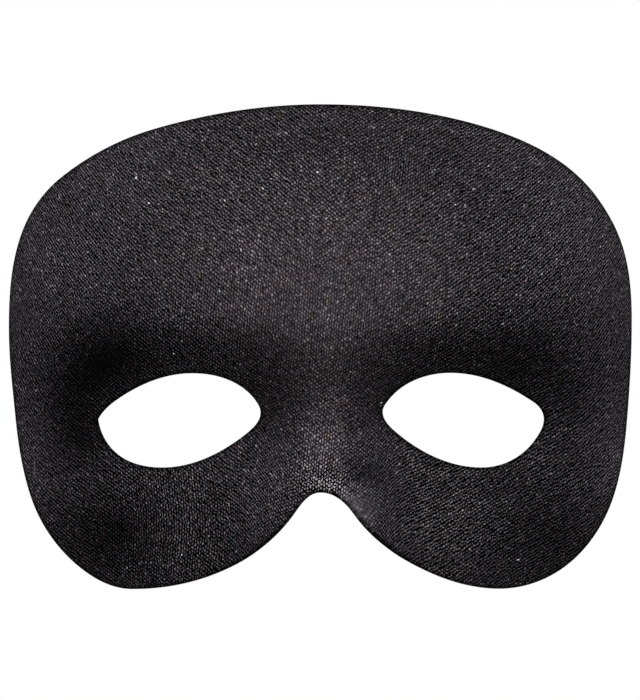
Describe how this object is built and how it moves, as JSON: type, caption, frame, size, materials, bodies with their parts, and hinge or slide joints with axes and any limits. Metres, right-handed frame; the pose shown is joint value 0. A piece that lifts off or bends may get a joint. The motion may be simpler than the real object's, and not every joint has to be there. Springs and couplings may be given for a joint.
{
  "type": "domino mask",
  "caption": "Moulded half mask of stiffened black knit fabric that covers the forehead, brow and cheeks, with cut eye openings and a notch for the nose.",
  "frame": {"origin": "on the surface the mask lies on, under the middle of its box, with the temple rims on z = 0", "axes": "+Z out of the face (up as it lies), +Y towards the crown, +X to the viewer's right across the eyes"},
  "size_m": [0.1682, 0.1308, 0.0389],
  "materials": {
    "black_knit": "stiffened black knit with a fine raised stitch and a faint sheen"
  },
  "bodies": {
    "root": {"mask_shell": "black_knit"}
  },
  "joints": []
}
